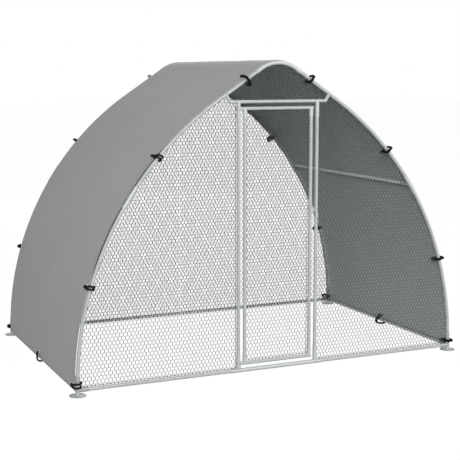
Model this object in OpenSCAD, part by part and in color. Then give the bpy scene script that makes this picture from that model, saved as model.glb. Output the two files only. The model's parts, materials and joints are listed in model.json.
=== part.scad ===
// Walk-in chicken run: two bent tube arches, wire net walls, a sheet cover and a hinged net door.
// Millimetres, +Z up, door in the wall at -Y, origin on the floor under the middle of the run.

/* [Run] */
// width between the arch legs at the floor, tube centre to tube centre
run_w = 2680; // [2400:10:3000]
// depth between the front and rear arches, tube centre to tube centre
run_d = 1697; // [1200:1:2400]
// height of the base rails' centre line over the floor
rail_z = 34.5; // [32:0.5:40]

/* [Tube] */
// outside diameter of the plain tubes
tube_od = 22; // [20:0.5:24]
// wall of the plain tubes
tube_wall = 1.2; // [0.8:0.1:2]
// wall of the sleeves and sockets
socket_wall = 1.6; // [1.2:0.1:2.2]
// clearance between a tube and the sleeve round it
fit = 0.3; // [0.2:0.05:0.4]

/* [Arch] */
// straight foot of each arch leg
leg_h = 40; // [36:1:50]
// radius of the side bend
arch_r = 2049; // [1950:1:2150]
// sweep of the side bend
arch_angle = 56.4; // [55:0.1:59]
// radius of the bend at the ridge
ridge_r = 220; // [180:1:260]
// place of the arch tee on the side bend
tee_angle = 33.8; // [30:0.1:38]
// length of the arch tee's sleeve
tee_l = 150; // [120:1:180]
// length of the arch tee's socket for the side purlin
tee_stub = 100; // [70:1:120]
// straight end of the ridge fitting's sleeve
ridge_sleeve = 40; // [34:1:60]
// length of the ridge fitting's socket for the ridge purlin
ridge_stub = 70; // [55:1:100]

/* [Corner] */
// top of the corner fitting's upright sleeve
corner_h = 122; // [110:1:140]
// length of the corner fitting's sockets
corner_stub = 63; // [52:1:80]
// diameter of the foot plate
foot_d = 105; // [80:1:130]
// thickness of the foot plate
foot_t = 3; // [2:0.5:5]

/* [Doorway] */
// width between the door posts, centre to centre
door_w = 554; // [480:1:640]
// length of the threshold outside each post
sill_over = 54; // [45:1:70]
// height of the lower post sockets
post_low = 104; // [95:1:120]
// height of the upper post sockets
post_high = 101; // [90:1:120]
// distance up the arch's straight arm where the header lands
header_land = 75; // [60:1:90]
// rise of the header's bent ends
header_rise = 44; // [36:1:54]
// slope of the header's bent ends
header_slope = 58; // [45:1:65]

/* [Leaf] */
// distance from a post to the stile beside it
leaf_side = 43.5; // [40:0.5:50]
// distance from the header to the leaf's top rail
leaf_top = 42; // [42:0.5:50]
// distance from the threshold to the leaf's bottom rail
leaf_bottom = 45; // [42:0.5:54]
// length of the leaf's stile sockets
leaf_stub = 57; // [50:1:70]
// height of the upper hinge sleeve
hinge_h = 30; // [22:1:36]

/* [Latch] */
// height of the latch button's pivot over the floor
latch_z = 1003; // [900:1:1100]
// height of the strike plate's point over the pivot
strike_up = 44; // [42:0.5:46]
// reach of the strike plate from the stile's centre
strike_reach = 29; // [26:0.5:29.5]
// length of the latch button from its pivot
button_l = 46; // [44:0.5:47]
// width of the latch button
button_w = 15; // [13:0.5:16]
// thickness of the latch plates
plate_t = 3; // [2:0.5:4]

/* [Net] */
// width of one hexagon of the net
mesh_w = 24.5; // [20:0.5:30]
// how many hexagons are drawn as one
mesh_group = 5; // [5:1:8]
// width of the drawn strands
strand_w = 3; // [3:0.5:6]
// hexagon gaps side by side in the roof net
roof_columns = 9; // [7:1:9]
// plain border of the roof net along the arches
roof_border = 53; // [52:1:70]
// thickness of the net
net_t = 1.5; // [1:0.5:2]

/* [Cover] */
// thickness of the cover sheet
cover_t = 1.5; // [1:0.1:2]
// height of the cover's lower edges over the floor
cover_z = 30; // [26:1:33]
// distance of the cover's end edges behind the centre lines of the arches
cover_back = 9; // [0:1:12]
// distance of the eyelets from the tube they are tied to
eyelet_in = 38; // [34:1:44]
// hole through an eyelet
eyelet_id = 12; // [11:0.5:13]

/* [Ties] */
// diameter of the tie cords
cord_d = 5; // [3:0.5:5]
// diameter of the tie balls
ball_d = 24; // [20:1:28]
// room between a tie and the fittings on the inner side of a tube
tie_slack = 5; // [1:0.5:8]
// height of a tie's loop over its eyelet
tie_rise = 12; // [0:1:16]
// place of the lowest tie on the side bend
tie_low = 0.76; // [0.6:0.02:0.9]
// place of the middle tie on the side bend
tie_mid = 17.5; // [14:0.1:21]
// place of the upper tie on the side bend
tie_high = 42.2; // [40:0.1:46]
// place of the top tie, as a share of the straight arm
tie_arm = 0.66; // [0.4:0.01:0.75]

/* [Screws] */
// diameter of the screw heads
screw_head = 8.5; // [7:0.5:10]
// diameter of the screw shanks
screw_d = 4; // [3:0.5:4.5]

/* [Hidden] */
$fn = 64;
a = run_w / 2;
yd = run_d / 2;
tube_r = tube_od / 2;
tube_id = tube_od - 2 * tube_wall;
socket_id = tube_od + 2 * fit;
socket_od = socket_id + 2 * socket_wall;
socket_r = socket_od / 2;
bore_in = socket_r + 1;
end_in = bore_in + 1.5;
arc_x = a - arch_r;
arm_l = (a - arch_r * (1 - cos(arch_angle)) - ridge_r * cos(arch_angle)) / sin(arch_angle);
arc_end = [arc_x + arch_r * cos(arch_angle), leg_h + arch_r * sin(arch_angle)];
ridge_zc = arc_end[1] + arm_l * cos(arch_angle) - ridge_r * sin(arch_angle);
apex_z = ridge_zc + ridge_r;
header_x = arc_end[0] - header_land * sin(arch_angle);
header_z = arc_end[1] + header_land * cos(arch_angle) - header_rise;
header_turn = header_x - header_rise / tan(header_slope);
sill_x = door_w / 2 + sill_over;
stile_x = door_w / 2 - leaf_side;
leaf_z0 = rail_z + leaf_bottom;
leaf_z1 = header_z - leaf_top;
collar_id = socket_od + 2 * fit;
collar_od = collar_id + 2 * socket_wall;
strike_z = latch_z + strike_up;
net_n = socket_r + fit;
cover_n = net_n + net_t + fit;
cover_out = cover_n + cover_t;
flange_t = 1;
tie_n = cover_out + 2 * fit + flange_t + cord_d / 2 + tie_rise;
tie_in = socket_r + tie_slack + cord_d / 2;
tie_r = (tie_n + tie_in) / 2;
tie_c = tie_n - tie_r;
ball_in = tie_in + ball_d / 2 - cord_d / 2;
roof_p = (run_d - 2 * roof_border) / roof_columns;
roof_row = 0.94 * roof_p;
roof_t0 = asin((rail_z - leg_h) / arch_r);
roof_low = (arch_r + net_n) * (arch_angle - roof_t0) * PI / 180;
roof_half = roof_low + arm_l + (ridge_r + net_n) * (90 - arch_angle) * PI / 180;
roof_rows = floor((roof_half - 60 - 0.64 * roof_p) / roof_row);
mesh_p = mesh_w * mesh_group;
mesh_row = mesh_p * 0.94;
tee_half = tee_l / 2 / arch_r * 180 / PI;
corner_t = asin((corner_h - leg_h) / arch_r);
corner_t0 = asin((rail_z - socket_r - leg_h) / arch_r);
foot_top = leg_h + 16;
leg_t = asin((foot_top + 2 - leg_h) / arch_r);
split_t = 1 / arch_r * 180 / PI;
steel = [0.80, 0.82, 0.81];
zinc = [0.70, 0.73, 0.72];
wire = [0.50, 0.53, 0.52];
black = [0.08, 0.08, 0.08];
sheet = [0.52, 0.52, 0.52];

// a point of the arch's centre line on the side bend, moved outward by n
function arc_pt(t, n) = [arc_x + (arch_r + n) * cos(t), leg_h + (arch_r + n) * sin(t)];
// a point on the ridge bend, moved outward by n
function ridge_pt(t, n) = [(ridge_r + n) * cos(t), ridge_zc + (ridge_r + n) * sin(t)];
function half_arch(n) = concat([[a + n, rail_z]],
    [for (i = [0 : 20]) arc_pt(arch_angle * i / 20, n)],
    [for (i = [0 : 5]) ridge_pt(arch_angle + (90 - arch_angle) * i / 6, n)]);
function arch_outline(n) = let (h = half_arch(n), k = len(h) - 1)
    concat(h, [ridge_pt(90, n)], [for (i = [0 : k]) [-h[k - i][0], h[k - i][1]]]);

module flip(axis, on) {
    if (on) mirror(axis) children();
    else children();
}

// children are drawn for the front right corner of the run, with the arch in the plane y = 0
module quadrant(left, rear) {
    flip([1, 0, 0], left) flip([0, 1, 0], rear) translate([0, -yd, 0]) children();
}

// local X points out of the arch, local Z runs up along it
module on_arc(t) {
    translate([arc_pt(t, 0)[0], 0, arc_pt(t, 0)[1]]) rotate([0, -t, 0]) children();
}

// local origin where the side bend ends and the straight arm begins
module at_arc_end() {
    translate([arc_end[0], 0, arc_end[1]]) rotate([0, -arch_angle, 0]) children();
}

module on_arm(d) {
    at_arc_end() translate([0, 0, d]) children();
}

// bends that start in the local plane z = 0: the side bend downward, the ridge bend upward
module bend_down(angle) {
    mirror([0, 0, 1]) translate([-arch_r, 0, 0]) rotate([90, 0, 0])
        rotate_extrude(angle = angle) translate([arch_r, 0]) children();
}

module bend_up(angle) {
    translate([-ridge_r, 0, 0]) rotate([90, 0, 0])
        rotate_extrude(angle = angle) translate([ridge_r, 0]) children();
}

// children on the right of the middle plane, and their mirror image
module both_sides() {
    for (s = [0, 1]) flip([1, 0, 0], s == 1) difference() {
        children();
        translate([-a, -yd - foot_d, -leg_h]) cube([a, run_d + 2 * foot_d, apex_z + ridge_r]);
    }
}

module arc_sweep(t0, t1) {
    translate([arc_x, 0, leg_h]) rotate([90, 0, 0]) rotate([0, 0, t0])
        rotate_extrude(angle = t1 - t0) translate([arch_r, 0]) children();
}

module ring(od, id) {
    difference() {
        circle(d = od);
        circle(d = id);
    }
}

module along_x(x0, x1) {
    translate([x0, 0, 0]) rotate([0, 90, 0]) linear_extrude(x1 - x0) children();
}

module along_y(y0, y1) {
    translate([0, y1, 0]) rotate([90, 0, 0]) linear_extrude(y1 - y0) children();
}

module up(z0, z1) {
    translate([0, 0, z0]) linear_extrude(z1 - z0) children();
}

// screws and their holes point along local +X from the tube's centre line
module screw() {
    translate([tube_id / 2 - 1, 0, 0]) rotate([0, 90, 0])
        cylinder(d = screw_d, h = socket_r - tube_id / 2 + 1.5);
    translate([socket_r + fit / 2, 0, 0]) rotate([0, 90, 0]) cylinder(d = screw_head, h = 2.6);
}

module screw_hole() {
    translate([tube_id / 2 - 3, 0, 0]) rotate([0, 90, 0])
        cylinder(d = screw_d + 2 * fit, h = socket_r - tube_id / 2 + 6);
}

module to_top() {
    rotate([0, -90, 0]) children();
}

module to_inside() {
    rotate([0, 0, 180]) children();
}

module corner_spots() {
    translate([a - corner_stub + 16, 0, rail_z]) to_top() children();
    translate([a, corner_stub - 16, rail_z]) to_top() children();
    on_arc(corner_t * 0.8) to_inside() children();
}

module tee_spots() {
    for (s = [-1, 1]) on_arc(tee_angle + s * tee_half * 0.72) to_inside() children();
    on_arc(tee_angle) translate([0, tee_stub - 18, 0]) to_inside() children();
}

module ridge_spots() {
    for (s = [0, 1]) flip([1, 0, 0], s == 1) on_arm(arm_l - ridge_sleeve * 0.6) to_inside() children();
    translate([0, ridge_stub - 18, apex_z]) rotate([0, 90, 0]) children();
}

module sill_spots() {
    for (s = [-1, 1]) translate([s * (sill_x - 16), -yd, rail_z]) to_top() children();
}

module post_spots() {
    for (s = [0, 1]) flip([1, 0, 0], s == 1) {
        translate([door_w / 2, -yd, rail_z + post_low - 16]) children();
        translate([door_w / 2, -yd, header_z - post_high + 16]) children();
    }
}

module leaf_spots() {
    for (s = [0, 1]) flip([1, 0, 0], s == 1) {
        translate([stile_x, -yd, leaf_z0 + leaf_stub - 14]) to_inside() children();
        translate([stile_x, -yd, leaf_z1 - leaf_stub + 14]) to_inside() children();
    }
}

module every_corner() {
    for (l = [false, true]) for (r = [false, true]) quadrant(l, r) corner_spots() children();
}

module every_tee() {
    for (l = [false, true]) for (r = [false, true]) quadrant(l, r) tee_spots() children();
}

module every_ridge() {
    for (r = [false, true]) quadrant(false, r) ridge_spots() children();
}

module foot() {
    color(zinc) translate([a, 0, 0]) {
        cylinder(d = foot_d, h = foot_t);
        up(0, foot_top) ring(tube_od, tube_id);
    }
}

module corner() {
    color(zinc) difference() {
        union() {
            arc_sweep(corner_t0, corner_t) circle(d = socket_od);
            translate([0, 0, rail_z]) along_x(a - corner_stub, a) circle(d = socket_od);
            translate([a, 0, rail_z]) along_y(0, corner_stub) circle(d = socket_od);
        }
        arc_sweep(corner_t0 - 0.1, corner_t + 0.1) circle(d = socket_id);
        translate([0, 0, rail_z]) along_x(a - corner_stub - 1, a - bore_in) circle(d = socket_id);
        translate([a, 0, rail_z]) along_y(bore_in, corner_stub + 1) circle(d = socket_id);
        corner_spots() screw_hole();
    }
}

module arch_lower() {
    color(steel) difference() {
        arc_sweep(leg_t, tee_angle - split_t) ring(tube_od, tube_id);
        corner_spots() screw_hole();
        tee_spots() screw_hole();
    }
}

module arch_tee() {
    color(zinc) difference() {
        union() {
            arc_sweep(tee_angle - tee_half, tee_angle + tee_half) circle(d = socket_od);
            on_arc(tee_angle) along_y(0, tee_stub) circle(d = socket_od);
        }
        arc_sweep(tee_angle - tee_half - 0.1, tee_angle + tee_half + 0.1) circle(d = socket_id);
        on_arc(tee_angle) along_y(bore_in, tee_stub + 1) circle(d = socket_id);
        tee_spots() screw_hole();
    }
}

module arch_upper() {
    color(steel) difference() {
        at_arc_end() {
            bend_down(arch_angle - tee_angle - split_t) ring(tube_od, tube_id);
            up(0, arm_l - 1) ring(tube_od, tube_id);
        }
        tee_spots() screw_hole();
        ridge_spots() screw_hole();
    }
}

module ridge_core(d, past) {
    both_sides() on_arm(arm_l) {
        up(-ridge_sleeve - past, 0) circle(d = d);
        bend_up(91 - arch_angle) circle(d = d);
    }
}

module ridge() {
    color(zinc) difference() {
        union() {
            ridge_core(socket_od, 0);
            translate([0, 0, apex_z]) along_y(0, ridge_stub) circle(d = socket_od);
        }
        ridge_core(socket_id, 1);
        translate([0, 0, apex_z]) along_y(bore_in, ridge_stub + 1) circle(d = socket_id);
        ridge_spots() screw_hole();
    }
}

module side_purlin() {
    color(steel) difference() {
        on_arc(tee_angle) along_y(end_in - yd, yd - end_in) ring(tube_od, tube_id);
        every_tee() screw_hole();
    }
}

module side_rail() {
    color(steel) difference() {
        translate([a, 0, rail_z]) along_y(end_in - yd, yd - end_in) ring(tube_od, tube_id);
        every_corner() screw_hole();
    }
}

module front_rail() {
    color(steel) difference() {
        translate([0, -yd, rail_z])
            along_x(door_w / 2 + end_in, a - end_in) ring(tube_od, tube_id);
        quadrant(false, false) corner_spots() screw_hole();
        sill_spots() screw_hole();
    }
}

module foot_front_left() { quadrant(true, false) foot(); }
module foot_front_right() { quadrant(false, false) foot(); }
module foot_rear_left() { quadrant(true, true) foot(); }
module foot_rear_right() { quadrant(false, true) foot(); }

module corner_front_left() { quadrant(true, false) corner(); }
module corner_front_right() { quadrant(false, false) corner(); }
module corner_rear_left() { quadrant(true, true) corner(); }
module corner_rear_right() { quadrant(false, true) corner(); }

module arch_lower_front_left() { quadrant(true, false) arch_lower(); }
module arch_lower_front_right() { quadrant(false, false) arch_lower(); }
module arch_lower_rear_left() { quadrant(true, true) arch_lower(); }
module arch_lower_rear_right() { quadrant(false, true) arch_lower(); }

module arch_tee_front_left() { quadrant(true, false) arch_tee(); }
module arch_tee_front_right() { quadrant(false, false) arch_tee(); }
module arch_tee_rear_left() { quadrant(true, true) arch_tee(); }
module arch_tee_rear_right() { quadrant(false, true) arch_tee(); }

module arch_upper_front_left() { quadrant(true, false) arch_upper(); }
module arch_upper_front_right() { quadrant(false, false) arch_upper(); }
module arch_upper_rear_left() { quadrant(true, true) arch_upper(); }
module arch_upper_rear_right() { quadrant(false, true) arch_upper(); }

module ridge_front() { quadrant(false, false) ridge(); }
module ridge_rear() { quadrant(false, true) ridge(); }

module purlin_ridge() {
    color(steel) difference() {
        translate([0, 0, apex_z]) along_y(end_in - yd, yd - end_in) ring(tube_od, tube_id);
        every_ridge() screw_hole();
    }
}

module purlin_left() { flip([1, 0, 0], true) side_purlin(); }
module purlin_right() { side_purlin(); }

module rail_left() { flip([1, 0, 0], true) side_rail(); }
module rail_right() { side_rail(); }

module rail_rear() {
    color(steel) difference() {
        translate([0, yd, rail_z]) along_x(end_in - a, a - end_in) ring(tube_od, tube_id);
        quadrant(false, true) corner_spots() screw_hole();
        quadrant(true, true) corner_spots() screw_hole();
    }
}

module rail_front_left() { flip([1, 0, 0], true) front_rail(); }
module rail_front_right() { front_rail(); }

module threshold() {
    color(zinc) difference() {
        translate([0, -yd, rail_z]) along_x(-sill_x, sill_x) ring(socket_od, socket_id);
        sill_spots() screw_hole();
    }
}

// the half space beyond the mitre between the header and its bent end
module past_mitre(gap) {
    translate([header_turn, 0, header_z]) rotate([0, -header_slope / 2, 0])
        translate([-gap, -50, -100]) cube([200, 100, 200]);
}

module header() {
    color(steel) translate([0, -yd, 0]) difference() {
        translate([0, 0, header_z]) along_x(-header_x, header_x) ring(tube_od, tube_id);
        for (s = [0, 1]) flip([1, 0, 0], s == 1) past_mitre(0);
    }
}

// bent end of the header, shaped to sit against the arch
module header_arm() {
    color(steel) translate([0, -yd, 0]) difference() {
        intersection() {
            translate([header_turn, 0, header_z]) rotate([0, -header_slope, 0])
                along_x(-20, header_rise / sin(header_slope)) ring(tube_od, tube_id);
            past_mitre(-0.1);
        }
        at_arc_end() up(-40, header_land + 60) circle(d = tube_od + fit);
    }
}

module header_arm_left() { flip([1, 0, 0], true) header_arm(); }
module header_arm_right() { header_arm(); }

module post_sockets() {
    color(zinc) for (s = [-1, 1]) translate([s * door_w / 2, -yd, 0]) {
        difference() {
            up(rail_z, rail_z + post_low) circle(d = socket_od);
            up(rail_z + bore_in, rail_z + post_low + 1) circle(d = socket_id);
            translate([0, 0, rail_z]) along_x(-60, 60) circle(d = socket_od + 2 * fit);
            translate([-s * door_w / 2, yd, 0]) post_spots() screw_hole();
        }
        difference() {
            up(header_z - post_high, header_z) circle(d = socket_od);
            up(header_z - post_high - 1, header_z - tube_r - 2) circle(d = socket_id);
            translate([0, 0, header_z]) along_x(-60, 60) circle(d = tube_od + 0.1);
            translate([-s * door_w / 2, yd, 0]) post_spots() screw_hole();
        }
    }
}

module post_right() {
    color(steel) difference() {
        translate([door_w / 2, -yd, 0])
            up(rail_z + end_in, header_z - tube_r - 4) ring(tube_od, tube_id);
        post_spots() screw_hole();
    }
}

module post_left() { flip([1, 0, 0], true) post_right(); }

// a rail of the leaf with the sleeve that turns on the left post's socket
module leaf_rail(z, z0, z1) {
    color(steel) translate([0, -yd, 0]) difference() {
        union() {
            translate([0, 0, z]) along_x(-door_w / 2, stile_x + socket_r) circle(d = tube_od);
            translate([-door_w / 2, 0, 0]) up(z0, z1) circle(d = collar_od);
        }
        translate([0, 0, z])
            along_x(collar_od / 2 - door_w / 2, stile_x + socket_r - 2) circle(d = tube_id);
        translate([-door_w / 2, 0, 0]) up(z0 - 1, z1 + 1) circle(d = collar_id);
    }
}

module leaf_top_rail() { leaf_rail(leaf_z1, leaf_z1 - hinge_h / 2, leaf_z1 + hinge_h / 2); }
module leaf_bottom_rail() { leaf_rail(leaf_z0, rail_z + socket_r + fit, leaf_z0 + hinge_h / 2); }

module leaf_sockets() {
    color(zinc) for (s = [-1, 1]) translate([s * stile_x, -yd, 0]) {
        difference() {
            up(leaf_z0, leaf_z0 + leaf_stub) circle(d = socket_od);
            up(leaf_z0 + tube_r + 2, leaf_z0 + leaf_stub + 1) circle(d = socket_id);
            translate([0, 0, leaf_z0]) along_x(-60, 60) circle(d = tube_od + 0.1);
            translate([-s * stile_x, yd, 0]) leaf_spots() screw_hole();
        }
        difference() {
            up(leaf_z1 - leaf_stub, leaf_z1) circle(d = socket_od);
            up(leaf_z1 - leaf_stub - 1, leaf_z1 - tube_r - 2) circle(d = socket_id);
            translate([0, 0, leaf_z1]) along_x(-60, 60) circle(d = tube_od + 0.1);
            translate([-s * stile_x, yd, 0]) leaf_spots() screw_hole();
        }
    }
}

module leaf_stile_right() {
    color(steel) difference() {
        translate([stile_x, -yd, 0])
            up(leaf_z0 + tube_r + 4, leaf_z1 - tube_r - 4) ring(tube_od, tube_id);
        leaf_spots() screw_hole();
    }
}

module leaf_stile_left() { flip([1, 0, 0], true) leaf_stile_right(); }

// clamp round the right stile with a three-cornered plate that points at the post
module strike_clamp() {
    color(steel) translate([stile_x, -yd, strike_z]) difference() {
        union() {
            up(-20, 20) circle(d = socket_od);
            along_y(-socket_r - plate_t / 2, -socket_r + plate_t / 2)
                polygon([[-6, -26], [8, -26], [strike_reach, -1.5], [strike_reach, 1.5], [8, 26], [-6, 26]]);
        }
        up(-30, 30) circle(d = socket_id);
    }
}

// the pivot lies on the post's centre line, in front of the strike plate
module latch_clamp() {
    color(zinc) translate([door_w / 2, -yd, latch_z]) difference() {
        union() {
            up(-12, 12) circle(d = socket_od);
            along_y(-socket_r - plate_t / 2 - 1, -tube_r - fit) circle(d = 16);
        }
        up(-20, 20) circle(d = socket_id);
        along_y(-socket_r - plate_t, -tube_r) circle(d = 6);
    }
}

module latch_rivet() {
    face_y = -socket_r - plate_t / 2 - 1;
    color(steel) translate([door_w / 2, -yd, latch_z]) {
        along_y(face_y - plate_t - 3 * fit, -tube_r - fit) circle(d = 5.9);
        along_y(face_y - plate_t - 3 * fit - 2.5, face_y - plate_t - 3 * fit) circle(d = 11);
    }
}

module latch_button() {
    face_y = -socket_r - plate_t / 2 - 1 - fit;
    color(steel) translate([door_w / 2, -yd, latch_z])
        along_y(face_y - plate_t, face_y) difference() {
            rotate(12) union() {
                circle(d = button_w);
                translate([1 - button_w / 2, 0]) square([button_w - 2, button_l - button_w / 2]);
                translate([0, button_l - button_w / 2]) circle(d = button_w);
            }
            circle(d = 6.6);
        }
}

// one gap of the hexagon net, with upright sides
module mesh_gap() {
    k = (mesh_p - strand_w) / mesh_p;
    polygon([[-0.5, -0.3], [0, -0.64], [0.5, -0.3], [0.5, 0.3], [0, 0.64], [-0.5, 0.3]] * mesh_p * k);
}

module mesh_gaps(x0, x1, z0, z1) {
    i0 = floor(x0 / mesh_p);
    i1 = ceil(x1 / mesh_p);
    j0 = floor((z0 - rail_z) / mesh_row);
    j1 = ceil((z1 - rail_z) / mesh_row);
    for (j = [j0 : j1]) for (i = [i0 : i1])
        translate([(i + (j % 2 == 0 ? 0 : 0.5)) * mesh_p, rail_z + (j + 0.5) * mesh_row]) mesh_gap();
}

// places on the front or rear arch that the nets leave clear for sockets and ties
module net_notches() {
    for (s = [0, 1]) flip([1, 0], s == 1) {
        translate(arc_pt(tee_angle, 0)) circle(r = socket_r + fit);
        translate([a, rail_z]) circle(r = socket_r + fit);
        for (t = [tie_low, tie_mid, tie_high]) translate(arc_pt(t, -tie_in)) circle(r = 2.5 * cord_d);
        translate(arc_end + (tie_arm * arm_l) * [-sin(arch_angle), cos(arch_angle)]
            - tie_in * [cos(arch_angle), sin(arch_angle)]) circle(r = 2.5 * cord_d);
    }
    translate([0, apex_z]) circle(r = socket_r + fit);
}

// a net wall: the part of the arch inside the rectangle, cut by the hexagon gaps
module wall_2d(x0, x1, z0, z1) {
    difference() {
        intersection() {
            polygon(arch_outline(0));
            translate([x0, z0]) square([x1 - x0, z1 - z0]);
        }
        intersection() {
            polygon(arch_outline(-strand_w - 8));
            translate([x0 + strand_w, z0 + strand_w])
                square([x1 - x0 - 2 * strand_w, z1 - z0 - 2 * strand_w]);
            mesh_gaps(x0, x1, z0, min(z1, apex_z));
        }
        net_notches();
    }
}

// the space above the header, widened by the given amount
module gable_2d(grow) {
    h = 2 * (apex_z - header_z);
    polygon([[-header_turn - grow, header_z - grow], [header_turn + grow, header_z - grow],
        [header_turn + grow + h / tan(header_slope), header_z - grow + h],
        [-header_turn - grow - h / tan(header_slope), header_z - grow + h]]);
}

module front_net() {
    color(wire) translate([0, -yd + net_n, 0]) along_y(0, net_t) children();
}

module net_front_left() {
    front_net() difference() {
        wall_2d(-a, -door_w / 2 - 10, rail_z, apex_z);
        gable_2d(3);
    }
}

module net_front_right() {
    front_net() difference() {
        wall_2d(door_w / 2, a, rail_z, apex_z);
        gable_2d(3);
    }
}

module net_gable() {
    front_net() intersection() {
        wall_2d(-a, a, header_z, apex_z + 1);
        gable_2d(0);
    }
}

module net_rear() {
    color(wire) translate([0, yd - net_n - net_t, 0]) along_y(0, net_t)
        wall_2d(-a, a, rail_z, apex_z + 1);
}

module net_door() {
    front_net() difference() {
        translate([-stile_x, leaf_z0]) square([2 * stile_x, leaf_z1 - leaf_z0]);
        intersection() {
            translate([strand_w - stile_x, leaf_z0 + strand_w])
                square([2 * (stile_x - strand_w), leaf_z1 - leaf_z0 - 2 * strand_w]);
            mesh_gaps(-stile_x, stile_x, leaf_z0, leaf_z1);
        }
    }
}

// a sheet that follows the arch from one side to the other
module arch_sheet(n, t, z0, half_y) {
    both_sides() at_arc_end() {
        bend_down(arch_angle - asin((z0 - leg_h) / arch_r)) translate([n, -half_y]) square([t, 2 * half_y]);
        translate([n, -half_y, 0]) cube([t, 2 * half_y, arm_l]);
        translate([0, 0, arm_l]) bend_up(91 - arch_angle) translate([n, -half_y]) square([t, 2 * half_y]);
    }
}

// children are drawn at each tie: local X out of the cover, local Y towards the eyelet
module every_tie() {
    for (l = [false, true]) for (r = [false, true]) quadrant(l, r) {
        for (t = [tie_low, tie_mid, tie_high]) on_arc(t) children();
        on_arm(tie_arm * arm_l) children();
    }
    for (l = [false, true]) flip([1, 0, 0], l) on_arc(asin((rail_z + eyelet_in - leg_h) / arch_r))
        translate([0, 0, -eyelet_in]) rotate([90, 0, 0]) children();
}

module tie_hole(d) {
    translate([net_n - 6, eyelet_in, 0]) rotate([0, 90, 0]) cylinder(d = d, h = 20);
}

// children are drawn on the roof net, at a length along it from its lower edge
module on_roof(s) {
    if (s < roof_low) on_arc(roof_t0 + s / (arch_r + net_n) * 180 / PI) children();
    else if (s < roof_low + arm_l) on_arm(s - roof_low) children();
    else at_arc_end() translate([-ridge_r, 0, arm_l])
        rotate([0, (roof_low + arm_l - s) / (ridge_r + net_n) * 180 / PI, 0])
            translate([ridge_r, 0, 0]) children();
}

// one gap of the roof net, whole or the half towards the given side
module roof_gap(y, side, k) {
    whole = [[-0.5, -0.3], [0, -0.64], [0.5, -0.3], [0.5, 0.3], [0, 0.64], [-0.5, 0.3]];
    half = [[0.02, -0.626], [0.5, -0.3], [0.5, 0.3], [0.02, 0.626]];
    translate([net_n - 45, y, 0]) rotate([90, 0, 90]) linear_extrude(55)
        flip([1, 0], side < 0) polygon((side == 0 ? whole : half) * roof_p * k);
}

module roof_row_gaps(j, k) {
    y0 = roof_border - yd;
    if (j % 2 == 0) for (i = [0 : roof_columns - 1]) roof_gap(y0 + (i + 0.5) * roof_p, 0, k);
    else {
        for (i = [1 : roof_columns - 1]) roof_gap(y0 + i * roof_p, 0, k);
        roof_gap(y0, 1, k);
        roof_gap(-y0, -1, k);
    }
}

module net_roof() {
    color(wire) difference() {
        arch_sheet(net_n, net_t, rail_z, yd);
        every_tie() tie_hole(eyelet_id + 13);
        for (j = [0 : roof_rows]) for (l = [0 : min(j, 1)])
            flip([1, 0, 0], l == 1) on_roof(roof_half - j * roof_row)
                roof_row_gaps(j, (roof_p - strand_w) / roof_p - (j < 2 ? 0.05 : 0));
    }
}

module cover() {
    color(sheet) difference() {
        arch_sheet(cover_n, cover_t, cover_z, yd - cover_back);
        every_tie() tie_hole(eyelet_id + 3 + 2 * fit);
    }
}

module eyelet() {
    translate([0, eyelet_in, 0]) rotate([0, 90, 0]) rotate_extrude() {
        translate([eyelet_id / 2, cover_n - fit - flange_t])
            square([1.5, cover_t + 2 * fit + 2 * flange_t]);
        translate([eyelet_id / 2, cover_n - fit - flange_t]) square([4.5, flange_t]);
        translate([eyelet_id / 2, cover_out + fit]) square([4.5, flange_t]);
    }
}

module eyelets() {
    color(zinc) every_tie() eyelet();
}

module ball() {
    translate([-ball_in, eyelet_in, 0]) sphere(d = ball_d);
}

module tie_balls() {
    color(black) every_tie() ball();
}

// one strand of a tie: from the ball out through the eyelet, over the cover, round the tube and back
module strand() {
    turn = 2 * cord_d;
    low = ball_in - tie_in - cord_d / 2;
    reach = sqrt(pow(ball_d / 2 + fit, 2) - low * low);
    translate([0, eyelet_in, 0]) along_x(ball_d / 2 + fit - ball_in, tie_n - turn) circle(d = cord_d);
    translate([tie_n - turn, eyelet_in - turn, 0])
        rotate_extrude(angle = 90) translate([turn, 0]) circle(d = cord_d);
    translate([tie_n, 0, 0]) along_y(0, eyelet_in - turn) circle(d = cord_d);
    translate([tie_c, 0, 0]) rotate([0, 0, 180])
        rotate_extrude(angle = 180) translate([tie_r, 0]) circle(d = cord_d);
    translate([-tie_in, 0, 0]) along_y(0, eyelet_in - reach) circle(d = cord_d);
}

module tie_cords() {
    color(black) every_tie() for (s = [-1, 1]) translate([0, 0, s * (cord_d / 2 + 0.2)]) strand();
}

module frame_screws() {
    color(steel) {
        every_corner() screw();
        every_tee() screw();
        every_ridge() screw();
        sill_spots() screw();
        post_spots() screw();
    }
}

module leaf_screws() {
    color(steel) leaf_spots() screw();
}

foot_front_left();
foot_front_right();
foot_rear_left();
foot_rear_right();
corner_front_left();
corner_front_right();
corner_rear_left();
corner_rear_right();
arch_lower_front_left();
arch_lower_front_right();
arch_lower_rear_left();
arch_lower_rear_right();
arch_tee_front_left();
arch_tee_front_right();
arch_tee_rear_left();
arch_tee_rear_right();
arch_upper_front_left();
arch_upper_front_right();
arch_upper_rear_left();
arch_upper_rear_right();
ridge_front();
ridge_rear();
purlin_ridge();
purlin_left();
purlin_right();
rail_left();
rail_right();
rail_rear();
rail_front_left();
rail_front_right();
threshold();
header();
header_arm_left();
header_arm_right();
post_sockets();
post_left();
post_right();
leaf_top_rail();
leaf_bottom_rail();
leaf_sockets();
leaf_stile_left();
leaf_stile_right();
strike_clamp();
latch_clamp();
latch_rivet();
latch_button();
net_front_left();
net_front_right();
net_gable();
net_rear();
net_roof();
net_door();
cover();
eyelets();
tie_cords();
tie_balls();
frame_screws();
leaf_screws();
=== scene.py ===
"""Looks of the walk-in chicken run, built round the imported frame."""
import json
import math

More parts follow.
